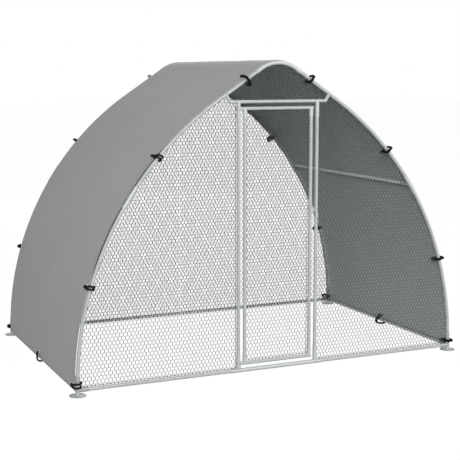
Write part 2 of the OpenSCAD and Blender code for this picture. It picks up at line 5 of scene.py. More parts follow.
import bpy
import numpy as np
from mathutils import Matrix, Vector


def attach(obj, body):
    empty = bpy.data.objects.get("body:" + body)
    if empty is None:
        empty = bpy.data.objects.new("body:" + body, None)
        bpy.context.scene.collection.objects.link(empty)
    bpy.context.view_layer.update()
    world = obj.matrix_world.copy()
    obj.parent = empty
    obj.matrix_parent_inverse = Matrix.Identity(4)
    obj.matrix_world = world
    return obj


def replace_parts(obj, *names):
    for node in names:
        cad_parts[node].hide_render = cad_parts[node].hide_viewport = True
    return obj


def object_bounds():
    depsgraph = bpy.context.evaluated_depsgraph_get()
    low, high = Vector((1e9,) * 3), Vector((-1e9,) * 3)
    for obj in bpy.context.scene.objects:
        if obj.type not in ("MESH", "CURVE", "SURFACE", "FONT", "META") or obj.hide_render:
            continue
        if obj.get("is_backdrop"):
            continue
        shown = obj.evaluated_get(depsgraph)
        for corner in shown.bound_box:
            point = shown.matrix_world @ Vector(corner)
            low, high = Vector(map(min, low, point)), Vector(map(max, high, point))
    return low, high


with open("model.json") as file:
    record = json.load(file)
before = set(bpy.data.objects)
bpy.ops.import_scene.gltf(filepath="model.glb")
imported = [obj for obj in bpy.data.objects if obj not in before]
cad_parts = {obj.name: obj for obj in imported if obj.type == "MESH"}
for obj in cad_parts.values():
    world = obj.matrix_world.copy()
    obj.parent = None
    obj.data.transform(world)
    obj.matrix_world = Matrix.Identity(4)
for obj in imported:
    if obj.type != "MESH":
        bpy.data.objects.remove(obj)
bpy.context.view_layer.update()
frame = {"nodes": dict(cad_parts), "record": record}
nodes = frame["nodes"]
rng = np.random.default_rng(7)

# Sizes of the part, in metres, as its source has them
HALF_W = 1.340          # from the middle to an arch tube at its foot
HALF_D = 0.8485         # from the middle to the front or rear arch
LEG_H = 0.040           # straight length of an arch leg
ARCH_R = 2.049          # bend of the arch sides
ARCH_T = math.radians(56.4)     # angle of that bend
RIDGE_R = 0.220         # bend at the ridge
TEE_T = math.radians(33.8)      # angle up to the arch tees
TUBE_R = 0.011
RAIL_Z = 0.0345         # axis of the base rails
DOOR_X = 0.277          # axis of a door post
STILE_X = 0.2335        # axis of a leaf stile
LEAF_Z0 = 0.0795        # axis of the leaf's bottom rail
LEAF_TOP = 0.042        # from the header down to the leaf's top rail
HEADER_LAND = 0.075     # from the end of the bend up the arch to a header arm
HEADER_RISE = 0.044     # from the header up to that point
HEADER_SLOPE = math.radians(58)
NET_N = 0.01395         # middle of a net, outward of or behind a tube axis
COVER_N = 0.0156        # inner face of the cover, outward of a tube axis
COVER_T = 0.0007        # thickness of the sheet
COVER_Z = 0.030         # height of the cover's lower edges
COVER_Y = HALF_D - 0.009        # half of the cover's width
EYELET_IN = 0.038       # eyelet from the tube axis
BALL_IN = 0.0299        # ball from the tube axis, into the run
BALL_R = 0.012
TIE_ANGLES = [math.radians(t) for t in (0.76, 17.5, 42.2)]  # low, middle and high ties on the bend
LOW_TIE, MIDDLE_TIE, HIGH_TIE = TIE_ANGLES
TIE_ARM = 0.66          # top ties, as a share of the straight length above the bend
MESH = 0.0245           # pitch of the hexagon net
ROW = 0.94 * MESH
TWIST_HALF = 0.3 * MESH         # half of a twisted side of a hexagon

ARM_L = (HALF_W - ARCH_R * (1 - math.cos(ARCH_T)) - RIDGE_R * math.cos(ARCH_T)) / math.sin(ARCH_T)
ARC_C = np.array([HALF_W - ARCH_R, LEG_H])
OUT_T = np.array([math.cos(ARCH_T), math.sin(ARCH_T)])
UP_T = np.array([-math.sin(ARCH_T), math.cos(ARCH_T)])
ARC_END = ARC_C + ARCH_R * OUT_T
RIDGE_C = ARC_END + ARM_L * UP_T - RIDGE_R * OUT_T
HEADER_Z = ARC_END[1] + HEADER_LAND * UP_T[1] - HEADER_RISE
HEADER_TURN = ARC_END[0] + HEADER_LAND * UP_T[0] - HEADER_RISE / math.tan(HEADER_SLOPE)
LEAF_Z1 = HEADER_Z - LEAF_TOP
SIDES = ((-1, "left"), (1, "right"))


def half_length(n, z0):
    """Length of the arch at offset n, from height z0 up to the apex."""
    low = math.asin((z0 - LEG_H) / ARCH_R)
    return (RIDGE_R + n) * (math.pi / 2 - ARCH_T) + ARM_L + (ARCH_R + n) * (ARCH_T - low)


def on_arch(q, n):
    """Points and outward normals (x, z) at signed lengths q from the apex along the arch at offset n."""
    q, n = np.broadcast_arrays(np.asarray(q, float), np.asarray(n, float))
    d = np.abs(q)
    ridge = (RIDGE_R + n) * (math.pi / 2 - ARCH_T)
    past_arm = d - ridge - ARM_L
    angle = np.where(d < ridge, math.pi / 2 - d / (RIDGE_R + n),
                     np.where(past_arm < 0, ARCH_T, ARCH_T - past_arm / (ARCH_R + n)))
    out = np.stack([np.cos(angle), np.sin(angle)], -1)
    arm = RIDGE_C + (RIDGE_R + n)[..., None] * OUT_T - (d - ridge)[..., None] * UP_T
    point = np.where((d < ridge)[..., None], RIDGE_C + (RIDGE_R + n)[..., None] * out,
                     np.where((past_arm < 0)[..., None], arm, ARC_C + (ARCH_R + n)[..., None] * out))
    side = np.where(q < 0, -1.0, 1.0)
    point[..., 0] *= side
    out[..., 0] *= side
    return point, out


def in_space(xz, y):
    """Points or directions (x, z) of the arch, with their y."""
    return np.stack([xz[..., 0], y, xz[..., 1]], -1)


def arch_offset(x, z):
    """Signed distance of points from the line of the arch tubes, outward positive."""
    p = np.stack([np.abs(x), z], -1)
    along = (p - ARC_END) @ UP_T
    arc = np.linalg.norm(p - ARC_C, axis=-1) - ARCH_R
    ridge = np.linalg.norm(p - RIDGE_C, axis=-1) - RIDGE_R
    return np.where(along < 0, arc, np.where(along < ARM_L, (p - ARC_END) @ OUT_T, ridge))


def rise(value, start, width):
    """0 up to start, then evenly up to 1 over width."""
    return np.clip((value - start) / width, 0, 1)


def fall(value, end, width):
    """1, then evenly down over width to 0 at end."""
    return np.clip((end - value) / width, 0, 1)


# Meshes

SHORTEST_WIRE = 0.0015  # what is left of a wire at a net's edge is dropped below this
CLIP_STEPS = 12         # halvings that find where a wire crosses the edge


class Shape:
    """Vertices and four-cornered faces, gathered for one piece."""

    def __init__(self):
        self.verts, self.quads, self.marks, self.count = [], [], [], 0

    def add(self, verts, quads, mark=0):
        """Add faces; mark is the number of their material, or one number for each face."""
        self.verts.append(np.asarray(verts, np.float32).reshape(-1, 3))
        self.quads.append(np.asarray(quads, np.int64).reshape(-1, 4) + self.count)
        self.marks.append(np.broadcast_to(mark, (len(self.quads[-1]),)))
        self.count += len(self.verts[-1])

    def piece(self, name, body, materials, slot):
        """Make the object, on a body; slot, a slot of the record, is not used."""
        mesh = bpy.data.meshes.new(name)
        verts, quads = np.concatenate(self.verts), np.concatenate(self.quads)
        mesh.vertices.add(len(verts))
        mesh.vertices.foreach_set("co", verts.ravel())
        mesh.loops.add(quads.size)
        mesh.loops.foreach_set("vertex_index", quads.ravel().astype(np.int32))
        mesh.polygons.add(len(quads))
        mesh.polygons.foreach_set("loop_start", np.arange(0, quads.size, 4, dtype=np.int32))
        mesh.polygons.foreach_set("material_index", np.concatenate(self.marks).astype(np.int32))
        mesh.polygons.foreach_set("use_smooth", np.ones(len(quads), bool))
        mesh.update(calc_edges=True)
        for m in materials if isinstance(materials, list) else [materials]:
            mesh.materials.append(m)
        obj = bpy.data.objects.new(name, mesh)
        bpy.context.scene.collection.objects.link(obj)
        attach(obj, body)
        return obj


def ring_quads(steps, sides):
    """Faces of a closed tube of steps rings with sides corners each."""
    k = np.arange(sides)
    low = np.arange(steps - 1)[:, None] * sides
    wall = np.stack([low + k, low + (k + 1) % sides, low + sides + (k + 1) % sides, low + sides + k], -1)
    quads = [wall.reshape(-1, 4)]
    last = (steps - 1) * sides
    for j in range(sides // 2 - 1):
        cap = np.array([[j, j + 1, sides - 2 - j, sides - 1 - j]])
        quads += [cap[:, ::-1], cap + last]
    return np.concatenate(quads)


def hex_wires(u0, u1, v0, v1):
    """Twisted upright sides and slanting sides of hexagons over a rectangle, as pairs of points."""
    j = np.arange(math.floor(v0 / ROW) - 1, math.ceil(v1 / ROW) + 1)
    i = np.arange(math.floor(u0 / MESH) - 1, math.ceil(u1 / MESH) + 2)
    j, i = np.meshgrid(j, i, indexing="ij")
    u, c = (i + 0.5 * (j % 2)) * MESH, (j + 0.5) * ROW
    low, top = np.stack([u, c - TWIST_HALF], -1), np.stack([u, c + TWIST_HALF], -1)
    ends = [np.stack([u + s * MESH / 2, c + ROW - TWIST_HALF], -1) for s in (-1, 1)]
    twists = np.stack([low, top], -2).reshape(-1, 2, 2)
    slants = np.concatenate([np.stack([top, e], -2).reshape(-1, 2, 2) for e in ends])
    return twists, slants


def clipped(lines, inside):
    """The parts of lines that lie inside a region, cut at its edge."""
    a, b = lines[:, 0].copy(), lines[:, 1].copy()
    in_a, in_b = inside(a), inside(b)
    keep = in_a | in_b
    a, b, in_a, in_b = a[keep], b[keep], in_a[keep], in_b[keep]
    for cut, outer, inner in ((~in_a, a, b), (~in_b, b, a)):
        o, i = outer[cut], inner[cut].copy()
        for _ in range(CLIP_STEPS):
            m = (o + i) / 2
            good = inside(m)[:, None]
            i, o = np.where(good, m, i), np.where(good, o, m)
        outer[cut] = i
    return np.stack([a, b], 1)[np.linalg.norm(b - a, axis=1) > SHORTEST_WIRE]


def add_wires(shape, lines, place, widths, thick):
    """Closed wires of four sides along lines of a net; widths are half widths at even steps."""
    t = np.linspace(0, 1, len(widths))
    uv = lines[:, :1] * (1 - t)[None, :, None] + lines[:, 1:] * t[None, :, None]
    points, normal = place(uv)
    along = points[:, -1:] - points[:, :1]
    side = np.cross(along, normal)
    side /= np.linalg.norm(side, axis=-1, keepdims=True)
    turn = np.arange(4) * math.pi / 2
    ring = (points[:, :, None]
            + side[:, :, None] * (np.cos(turn)[:, None] * np.asarray(widths)[:, None, None])
            + normal[:, :, None] * (np.sin(turn)[:, None] * thick))
    quads = ring_quads(len(widths), 4)
    base = np.arange(len(lines))[:, None, None] * (4 * len(widths))
    shape.add(ring, quads[None] + base)


def add_net(shape, u0, u1, v0, v1, inside, place, slant_w, twist_w, thick):
    """A hexagon net over the part of a rectangle that lies inside a region."""
    twists, slants = hex_wires(u0, u1, v0, v1)
    add_wires(shape, clipped(twists, inside), place, twist_w, thick)
    add_wires(shape, clipped(slants, inside), place, [slant_w] * 2, thick)


def add_cord(shape, points, radius, sides, mark=0):
    """A round cord along points."""
    p = np.asarray(points, float)
    along = np.gradient(p, axis=0)
    along /= np.linalg.norm(along, axis=1, keepdims=True)
    n = np.cross(along[0], [0.31, 0.52, 0.80])  # any direction that no cord starts in
    frames = []
    for t in along:
        n = n - t * (n @ t)
        n /= np.linalg.norm(n)
        frames.append((n, np.cross(t, n)))
    f = np.array(frames)
    turn = np.arange(sides) * 2 * math.pi / sides
    r = np.broadcast_to(np.asarray(radius, float), (len(p),))
    ring = p[:, None] + r[:, None, None] * (f[:, :1] * np.cos(turn)[None, :, None]
                                            + f[:, 1:] * np.sin(turn)[None, :, None])
    shape.add(ring, ring_quads(len(p), sides), mark)


def smooth_line(points, per):
    """A smooth curve through points, with per steps from each to the next."""
    p = np.asarray(points, float)
    p = np.concatenate([[2 * p[0] - p[1]], p, [2 * p[-1] - p[-2]]])
    t = np.linspace(0, 1, per, endpoint=False)[:, None]
    parts = []
    for a, b, c, d in zip(p, p[1:], p[2:], p[3:]):
        parts.append(0.5 * (2 * b + (c - a) * t + (2 * a - 5 * b + 4 * c - d) * t ** 2
                            + (3 * b - a - 3 * c + d) * t ** 3))
    return np.concatenate(parts + [p[-2:-1]])


def add_turned(shape, profile, origin, axis, across, sides):
    """A turned form: profile is (distance along the axis, radius) from one end to the other."""
    h, r = np.asarray(profile, float).T
    other = np.cross(axis, across)
    turn = np.arange(sides) * 2 * math.pi / sides
    circle = np.cos(turn)[:, None] * across + np.sin(turn)[:, None] * other
    ring = np.asarray(origin) + h[:, None, None] * np.asarray(axis) + r[:, None, None] * circle
    shape.add(ring, ring_quads(len(h), sides))


# Materials

TINT = (0.945, 1.0, 0.992)      # faint green of the zinc and the cords


def shader(name, **values):
    """A material with inputs of its shader set; an underscore stands for a space in their names."""
    mat = bpy.data.materials.new(name)
    mat.use_nodes = True
    bsdf = mat.node_tree.nodes["Principled BSDF"]
    for key, value in values.items():
        bsdf.inputs[key.replace("_", " ")].default_value = value
    return mat, mat.node_tree, bsdf


def add_node(tree, kind, **values):
    """A node with its inputs or settings given by name."""
    n = tree.nodes.new(kind)
    for key, value in values.items():
        if key in n.inputs.keys():
            n.inputs[key].default_value = value
        else:
            setattr(n, key, value)
    return n


def noise(tree, coords, scale, detail, rough=0.55):
    n = add_node(tree, "ShaderNodeTexNoise", Scale=scale, Detail=detail, Roughness=rough)
    tree.links.new(coords, n.inputs["Vector"])
    return n.outputs["Fac"]


def math_node(tree, kind, a, b, clamp=False):
    """A sum of a kind on two values, each a number or another node's output."""
    n = add_node(tree, "ShaderNodeMath", operation=kind, use_clamp=clamp)
    for i, v in enumerate((a, b)):
        if isinstance(v, (int, float)):
            n.inputs[i].default_value = v
        else:
            tree.links.new(v, n.inputs[i])
    return n.outputs[0]


def blend(tree, *parts):
    """Values added up, each times its share."""
    scaled = [math_node(tree, "MULTIPLY", value, share) for value, share in parts]
    total = scaled[0]
    for value in scaled[1:]:
        total = math_node(tree, "ADD", total, value)
    return total


def ramp(tree, value, stops):
    """Colours at stops, blended in between."""
    n = add_node(tree, "ShaderNodeValToRGB")
    elements = n.color_ramp.elements
    elements[0].position = stops[0][0]
    elements[1].position = stops[-1][0]
    for pos, _ in stops[1:-1]:
        elements.new(pos)
    for e, (_, c) in zip(elements, stops):
        e.color = (*c, 1)
    tree.links.new(value, n.inputs["Fac"])
    return n.outputs["Color"]


def span(tree, value, low, high):
    """A value of 0 to 1 brought to low to high."""
    n = add_node(tree, "ShaderNodeMapRange")
    n.inputs["To Min"].default_value = low
    n.inputs["To Max"].default_value = high
    tree.links.new(value, n.inputs["Value"])
    return n.outputs["Result"]


def bump(tree, bsdf, height, strength, distance):
    n = add_node(tree, "ShaderNodeBump", Strength=strength, Distance=distance)
    tree.links.new(height, n.inputs["Height"])
    tree.links.new(n.outputs["Normal"], bsdf.inputs["Normal"])


def place_of(tree):
    return add_node(tree, "ShaderNodeTexCoord").outputs["Object"]


def tinted(tone):
    return tuple(tone * t for t in TINT)


def metal_material(name, tone, metallic, rough, spangle, grain, shine=0.5):
    """Zinc coated steel: a soft spangle of crystals, clouding, and fine grain."""
    mat, tree, bsdf = shader(name, Metallic=metallic, Specular_IOR_Level=shine)
    where = place_of(tree)
    cells = add_node(tree, "ShaderNodeTexVoronoi", Scale=spangle)
    tree.links.new(where, cells.inputs["Vector"])
    cell = add_node(tree, "ShaderNodeSeparateColor")
    tree.links.new(cells.outputs["Color"], cell.inputs["Color"])
    cloud = noise(tree, where, scale=7.0, detail=4.0)
    mixed = blend(tree, (cell.outputs["Red"], 0.45), (cloud, 0.55))
    shade = ramp(tree, mixed, [(0.2, tinted(tone * 0.90)), (0.5, tinted(tone)), (0.8, tinted(tone * 1.06))])
    tree.links.new(shade, bsdf.inputs["Base Color"])
    tree.links.new(span(tree, mixed, rough - 0.07, rough + 0.09), bsdf.inputs["Roughness"])
    bump(tree, bsdf, noise(tree, where, scale=grain, detail=2.0), strength=0.12, distance=0.0004)
    return mat


def weave_material(name, dark, light):
    """Coated woven sheet: flat tapes in both directions, clouding and faint creases."""
    mat, tree, bsdf = shader(name, Roughness=0.62, Sheen_Weight=0.05, Sheen_Roughness=0.5)
    uv = add_node(tree, "ShaderNodeUVMap", uv_map="Cloth").outputs["UV"]
    tapes = []
    for direction in ("X", "Y"):
        w = add_node(tree, "ShaderNodeTexWave", bands_direction=direction,
                     Scale=95.0, Distortion=0.6, Detail=1.0)
        tree.links.new(uv, w.inputs["Vector"])
        tapes.append(w.outputs["Fac"])
    weave = math_node(tree, "MAXIMUM", *tapes)
    where = place_of(tree)
    cloud = noise(tree, where, scale=1.6, detail=5.0, rough=0.5)
    crease = noise(tree, where, scale=14.0, detail=3.0, rough=0.6)
    # the creases and the weave's tapes also tint the colour, darker where their bump lies low: painted
    # shade in the hollows
    mixed = blend(tree, (cloud, 0.75), (crease, 0.15), (weave, 0.10))
    tree.links.new(ramp(tree, mixed, [(0.30, dark), (0.70, light)]), bsdf.inputs["Base Color"])
    height = math_node(tree, "ADD", math_node(tree, "MULTIPLY", weave, 0.35), crease)
    bump(tree, bsdf, height, strength=0.10, distance=0.001)
    return mat


def cord_material(name, tone):
    """Cord with a braided jacket."""
    mat, tree, bsdf = shader(name, Roughness=0.85, Specular_IOR_Level=0.12)
    braid = add_node(tree, "ShaderNodeTexVoronoi", Scale=900.0, distance="MANHATTAN")
    tree.links.new(place_of(tree), braid.inputs["Vector"])
    d = braid.outputs["Distance"]
    # darker between the braid's strands, where its bump lies low: painted shade in the grooves
    shade = ramp(tree, d, [(0.1, tinted(tone)), (0.8, tinted(tone * 0.45))])
    tree.links.new(shade, bsdf.inputs["Base Color"])
    bump(tree, bsdf, math_node(tree, "MULTIPLY", d, -1.0), strength=0.5, distance=0.0006)
    return mat


def plastic_material(name):
    """Black moulded plastic, smooth with faint scuffs."""
    mat, tree, bsdf = shader(name, Coat_Weight=0.2)
    scuff = noise(tree, place_of(tree), scale=120.0, detail=5.0, rough=0.7)
    shade = ramp(tree, scuff, [(0.35, (0.012, 0.012, 0.013)), (0.8, (0.024, 0.024, 0.025))])
    tree.links.new(shade, bsdf.inputs["Base Color"])
    tree.links.new(span(tree, scuff, 0.24, 0.42), bsdf.inputs["Roughness"])
    return mat


# name, tone, metallic, roughness, spangle scale, grain scale, shine
coat = metal_material("coated_tube", 0.375, 0.05, 0.55, 55.0, 420.0, 0.25)
zinc = metal_material("zinc_fitting", 0.42, 0.15, 0.50, 80.0, 500.0, 0.30)
# eyelets near white and not metallic: a painted highlight in place of the glint on their metal
eyelet_glint = metal_material("eyelet_painted_glint", 0.92, 0.0, 0.35, 220.0, 900.0)
# purlins and the rear base rail: the same tube as the others, painted paler as painted light in the cover's
# shade
pale = metal_material("tube_painted_light", 0.66, 0.10, 0.50, 70.0, 500.0, 0.35)
# corner fittings, darker than the other fittings
dark_fitting = metal_material("dark_fitting_zinc", 0.31, 0.25, 0.50, 90.0, 500.0, 0.30)
# side base rails: the same tube, painted paler as painted light in the shade under the cover's lower edges
rail_painted_light = metal_material("rail_painted_light", 0.52, 0.20, 0.50, 90.0, 500.0, 0.30)
steel = metal_material("zinc_hardware", 0.36, 0.40, 0.45, 160.0, 700.0, 0.3)
wire = metal_material("net_wire", 0.062, 0.15, 0.50, 60.0, 600.0)
# near black edge wire: partly the roof net's edge wire, partly painted shade for the dark line between the
# cover's edge and the tubes and above the rails
shade_lacing = metal_material("edge_wire_painted_shade", 0.022, 0.0, 0.60, 60.0, 600.0, 0.1)
roof_wire = metal_material("roof_net_wire", 0.11, 0.15, 0.55, 60.0, 600.0)
outside = weave_material("cover_outside", (0.288, 0.288, 0.286), (0.318, 0.318, 0.315))
# the inside is set much lighter than the outside of the same sheet: painted light for the shaded inside of
# the run
inner = weave_material("cover_inside_painted_light", (0.455, 0.505, 0.494), (0.500, 0.553, 0.542))
thread = cord_material("stitch_thread", 0.16)
cord_black = cord_material("tie_cord", 0.007)
ball_black = plastic_material("tie_ball")

slot_look = {"tube": coat, "fitting": zinc, "hardware": steel, "net": wire, "cover": outside,
             "cord": cord_black, "ball": ball_black}
kind_look = {"purlin": pale, "corner": dark_fitting}    # by the first word of a node's name
node_look = {"eyelets": eyelet_glint, "rail_rear": pale, "rail_left": rail_painted_light, "rail_right": rail_painted_light}
for row in frame["record"]["subparts"]:
    node = row["node"]
    mesh = nodes[node].data
    mesh.materials.clear()
    look = node_look.get(node) or kind_look.get(node.split("_")[0]) or slot_look[row["material_slot"]]
    mesh.materials.append(look)


# Form of the cover, which the net edges follow

cover_half = half_length(COVER_N, COVER_Z)
FOLD_EASE = 0.16        # the folds fade out this far from the edges
FOLD_LIFT, FOLD_SWING = 0.0012, 0.0006
HEM_PULL = 0.022        # the hem is drawn down to the tubes over this width
HEM_DROP = 0.0070       # and by this much at its edge,
LOOSE_LIFT = 0.0055     # less this between the middle and high ties of the front arch,
FOOT_LIFT = 0.0040      # and less this above the low ties there
# angle on the bend where these set in or end, and over what angle
LOOSE_START, LOOSE_END = (MIDDLE_TIE + 0.02, 0.05), (HIGH_TIE + 0.05, 0.04)
FOOT_START, FOOT_END = (LOW_TIE + 0.01, 0.03), (math.radians(13), 0.05)


def cover_swell(q, y):
    """How far the sheet stands off its bed: faint long folds, and a hem that is drawn down."""
    room = fall(np.abs(y), COVER_Y, FOLD_EASE) * fall(np.abs(q), cover_half, FOLD_EASE)
    room = room * room * (3 - 2 * room)
    folds = (np.sin(y * 9.1 + 1.3 * np.sin(q * 1.7)) + 0.6 * np.sin(y * 15.7 + q * 0.9 + 2.0)
             + 0.5 * np.sin(q * 6.3 + 2.1 * y))
    edge = rise(np.abs(y), COVER_Y - HEM_PULL, HEM_PULL)
    turn = (cover_half - np.abs(q) + COVER_Z - LEG_H) / (ARCH_R + COVER_N)
    loose = rise(turn, *LOOSE_START) * fall(turn, *LOOSE_END) * (y < 0)
    foot = rise(turn, *FOOT_START) * fall(turn, *FOOT_END) * (y < 0)
    drop = HEM_DROP - LOOSE_LIFT * loose - FOOT_LIFT * foot
    return room * (FOLD_LIFT + FOLD_SWING * folds) - drop * edge * edge


# Nets

# half widths of the slanting and of the twisted wires, and half thickness
WALL_NET = dict(slant_w=0.00126, twist_w=[0.0014, 0.0021, 0.0014], thick=0.0009)
ROOF_NET = dict(slant_w=0.0006, twist_w=[0.0009, 0.0009], thick=0.0006)
FRONT_Y, REAR_Y = -HALF_D + NET_N, HALF_D - NET_N
TOP = RIDGE_C[1] + RIDGE_R - RAIL_Z     # apex, over the base rails
ARCH_GAP = 0.001        # the wall nets end this far inside the line of the arch tubes
POST_LAP = 0.004        # the front nets start this far outside a door post's axis
GABLE_GAP = 0.003       # and end this far below the gable net
GABLE_HALF = 0.6        # more than half of the gable net's width
SELVAGE_Z = 0.0485      # selvages over the base rails
SELVAGE_IN = 0.0145     # other selvages, from the axis of their tube
SELVAGE_TOP = 0.016     # upright selvages end this far under the header
FOOT_IN = 0.014         # selvages over the base rails end this far inside the arch tubes
TWIST_STEP, TWIST_PITCH = 0.008, 0.040
ROOF_IN = 0.024         # roof net, from the arch's axis
EDGE_N = 0.008          # offset of the arch that sets how low the roof's edge wires reach
EDGE_STEPS = 120
FRONT_EDGE_IN, FRONT_EDGE_R = 0.0135, 0.0038
REAR_EDGE_IN, REAR_EDGE_R = 0.0150, 0.0020
REAR_EDGE_RISE = 0.03   # the rear edge wire ends this far over the base rails
RAIL_WIRE_R = 0.0022    # edge wire of the roof net along the side rails, made near black as painted shade there
RAIL_WIRE_IN = 0.004    # which lies this far in from the arch's foot
RAIL_WIRE_END = 0.080   # and ends this far from the arches
WIRE_GAP = 0.0003       # between an edge wire and what it lies on
SELVAGE_SIDES, EDGE_SIDES = 4, 6
PLAIN, SHADE_EDGE = 0, 1      # materials of the roof net: its wire, and its edge wire made near black as painted shade


def wall_place(y, facing):
    """Where the points of a wall net lie, with the direction that the wall faces."""
    def place(uv):
        point = np.stack([uv[..., 0], np.full(uv.shape[:-1], y), uv[..., 1] + RAIL_Z], -1)
        return point, np.broadcast_to(np.array([0.0, facing, 0.0]), point.shape)
    return place


def roof_place(uv):
    """Where the points of the roof net lie, with the direction outward."""
    point, out = on_arch(uv[..., 1], NET_N)
    y = uv[..., 0]
    return in_space(point, y), in_space(out, 0 * y)


def under_arch(p):
    return (arch_offset(p[:, 0], p[:, 1] + RAIL_Z) < -ARCH_GAP) & (p[:, 1] > 0)


def in_gable(p, grow=0.0):
    up = p[:, 1] + RAIL_Z - HEADER_Z + grow
    return (up > 0) & (np.abs(p[:, 0]) < HEADER_TURN + grow + up / math.tan(HEADER_SLOPE))


def in_leaf(p):
    return (np.abs(p[:, 0]) < STILE_X) & (p[:, 1] > LEAF_Z0 - RAIL_Z) & (p[:, 1] < LEAF_Z1 - RAIL_Z)


def edge_cord(shape, points, radius=0.0011, gap=0.0011):
    """A selvage: two wires twisted round each other along points."""
    p = np.asarray(points, float)
    length = np.concatenate([[0], np.cumsum(np.linalg.norm(np.diff(p, axis=0), axis=1))])
    s = np.linspace(0, length[-1], max(2, int(length[-1] / TWIST_STEP)))
    line = np.stack([np.interp(s, length, p[:, k]) for k in range(3)], -1)
    along = np.gradient(line, axis=0)
    along /= np.linalg.norm(along, axis=1, keepdims=True)
    a = np.cross(along, [0.0, 1.0, 0.0])
    a /= np.linalg.norm(a, axis=1, keepdims=True)
    turn = 2 * math.pi * s / TWIST_PITCH
    for phase in (0, math.pi):
        off = a * (gap * np.cos(turn + phase))[:, None]
        off[:, 1] += 0.5 * gap * np.sin(turn + phase)
        add_cord(shape, line + off, radius, SELVAGE_SIDES)


front_place, rear_place = wall_place(FRONT_Y, -1.0), wall_place(REAR_Y, 1.0)
foot_point, _ = on_arch([half_length(-FOOT_IN, SELVAGE_Z)], -FOOT_IN)
foot_x = float(foot_point[0, 0])

for side, name in SIDES:
    start = DOOR_X + POST_LAP
    net = Shape()
    lo, hi = sorted((side * start, side * HALF_W))
    add_net(net, lo, hi, 0, TOP,
            lambda p: under_arch(p) & (p[:, 0] * side > start) & ~in_gable(p, GABLE_GAP),
            front_place, **WALL_NET)
    edge_cord(net, [[side * start, FRONT_Y, SELVAGE_Z], [side * foot_x, FRONT_Y, SELVAGE_Z]],
              radius=0.0014, gap=0.0010)
    x = side * (DOOR_X + SELVAGE_IN)
    edge_cord(net, [[x, FRONT_Y, SELVAGE_Z], [x, FRONT_Y, HEADER_Z - SELVAGE_TOP]])
    piece = net.piece("front_net_" + name, "frame", wire, "net")
    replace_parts(piece, "net_front_" + name)

net = Shape()
add_net(net, -GABLE_HALF, GABLE_HALF, HEADER_Z - RAIL_Z, TOP,
        lambda p: under_arch(p) & in_gable(p), front_place, **WALL_NET)
z = HEADER_Z + SELVAGE_IN
edge_cord(net, [[-HEADER_TURN, FRONT_Y, z], [HEADER_TURN, FRONT_Y, z]])
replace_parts(net.piece("gable_net", "frame", wire, "net"), "net_gable")

for side, name in SIDES:
    net = Shape()
    lo, hi = sorted((0, side * HALF_W))
    add_net(net, lo, hi, 0, TOP, lambda p: under_arch(p) & (p[:, 0] * side > 0), rear_place, **WALL_NET)
    edge_cord(net, [[0, REAR_Y, SELVAGE_Z], [side * foot_x, REAR_Y, SELVAGE_Z]], radius=0.0013, gap=0.0012)
    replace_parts(net.piece("rear_net_" + name, "frame", wire, "net"), "net_rear")

net = Shape()
add_net(net, -STILE_X, STILE_X, LEAF_Z0 - RAIL_Z, LEAF_Z1 - RAIL_Z, in_leaf, front_place, **WALL_NET)
for side in (-1, 1):
    x = side * (STILE_X - SELVAGE_IN)
    edge_cord(net, [[x, FRONT_Y, LEAF_Z0], [x, FRONT_Y, LEAF_Z1]])
for z in (LEAF_Z0 + SELVAGE_IN, LEAF_Z1 - SELVAGE_IN):
    edge_cord(net, [[-STILE_X, FRONT_Y, z], [STILE_X, FRONT_Y, z]])
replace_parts(net.piece("door_net", "door", wire, "net"), "net_door")

roof_half = half_length(NET_N, RAIL_Z)
roof_tee = half_length(NET_N, LEG_H + ARCH_R * math.sin(TEE_T))
# y, radius, material and lowest height of the edge wires under the hems; the front one is near black as
# painted shade along the arch
roof_edges = ((-HALF_D + FRONT_EDGE_IN, FRONT_EDGE_R, SHADE_EDGE, LEG_H + ARCH_R * math.sin(MIDDLE_TIE)),
              (HALF_D - REAR_EDGE_IN, REAR_EDGE_R, PLAIN, RAIL_Z + REAR_EDGE_RISE))
for side, name in SIDES:
    for lo, hi, part in ((0, roof_tee, "upper"), (roof_tee, roof_half, "lower")):
        net = Shape()
        q0, q1 = sorted((side * lo, side * hi))
        add_net(net, -HALF_D, HALF_D, q0, q1,
                lambda p: (np.abs(p[:, 0]) < HALF_D - ROOF_IN) & (p[:, 1] > q0) & (p[:, 1] < q1),
                roof_place, **ROOF_NET)
        for y, radius, mark, low_z in roof_edges:
            along = np.linspace(side * lo, side * min(hi, half_length(EDGE_N, low_z)), EDGE_STEPS)
            ys = np.full(EDGE_STEPS, y)
            line, _ = on_arch(along, COVER_N + cover_swell(along, ys) - radius - WIRE_GAP)
            add_cord(net, in_space(line, ys), radius, EDGE_SIDES, mark)
        if part == "lower":
            x = side * (HALF_W - RAIL_WIRE_IN)
            z = RAIL_Z + TUBE_R + RAIL_WIRE_R + WIRE_GAP
            y = HALF_D - RAIL_WIRE_END
            add_cord(net, [[x, -y, z], [x, y, z]], RAIL_WIRE_R, EDGE_SIDES, SHADE_EDGE)
        piece = net.piece(f"roof_net_{name}_{part}", "frame", [roof_wire, shade_lacing], "net")
        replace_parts(piece, "net_roof")


# Cover

HEM = 0.026             # width of the hems
HEM_PLY = 0.0005        # the hem's folded edge adds this to the thickness
HEM_STEP = 0.0012       # distance between the mesh lines at a fold
HEM_LINES = np.array([0.0, HEM_STEP, 0.004, 0.008, 0.012, 0.016, 0.021, HEM - HEM_STEP, HEM, HEM + 0.004])
SHEET_IN = HEM + 0.03   # the even mesh of the sheet starts this far from its edges
LINES_Y, LINES_Q = 56, 200      # lines of that mesh across the run and along the arch
STITCH_PITCH, STITCH_L = 0.009, 0.0062
STITCH_W, STITCH_T = 0.0006, 0.0005     # half width and half thickness
STITCH_LIFT = 0.0006    # middle of a stitch over the sheet
STITCH_IN = 0.005       # rows of stitches from both edges of a hem
STITCH_END = 0.006      # a row ends this far from the sheet's edges


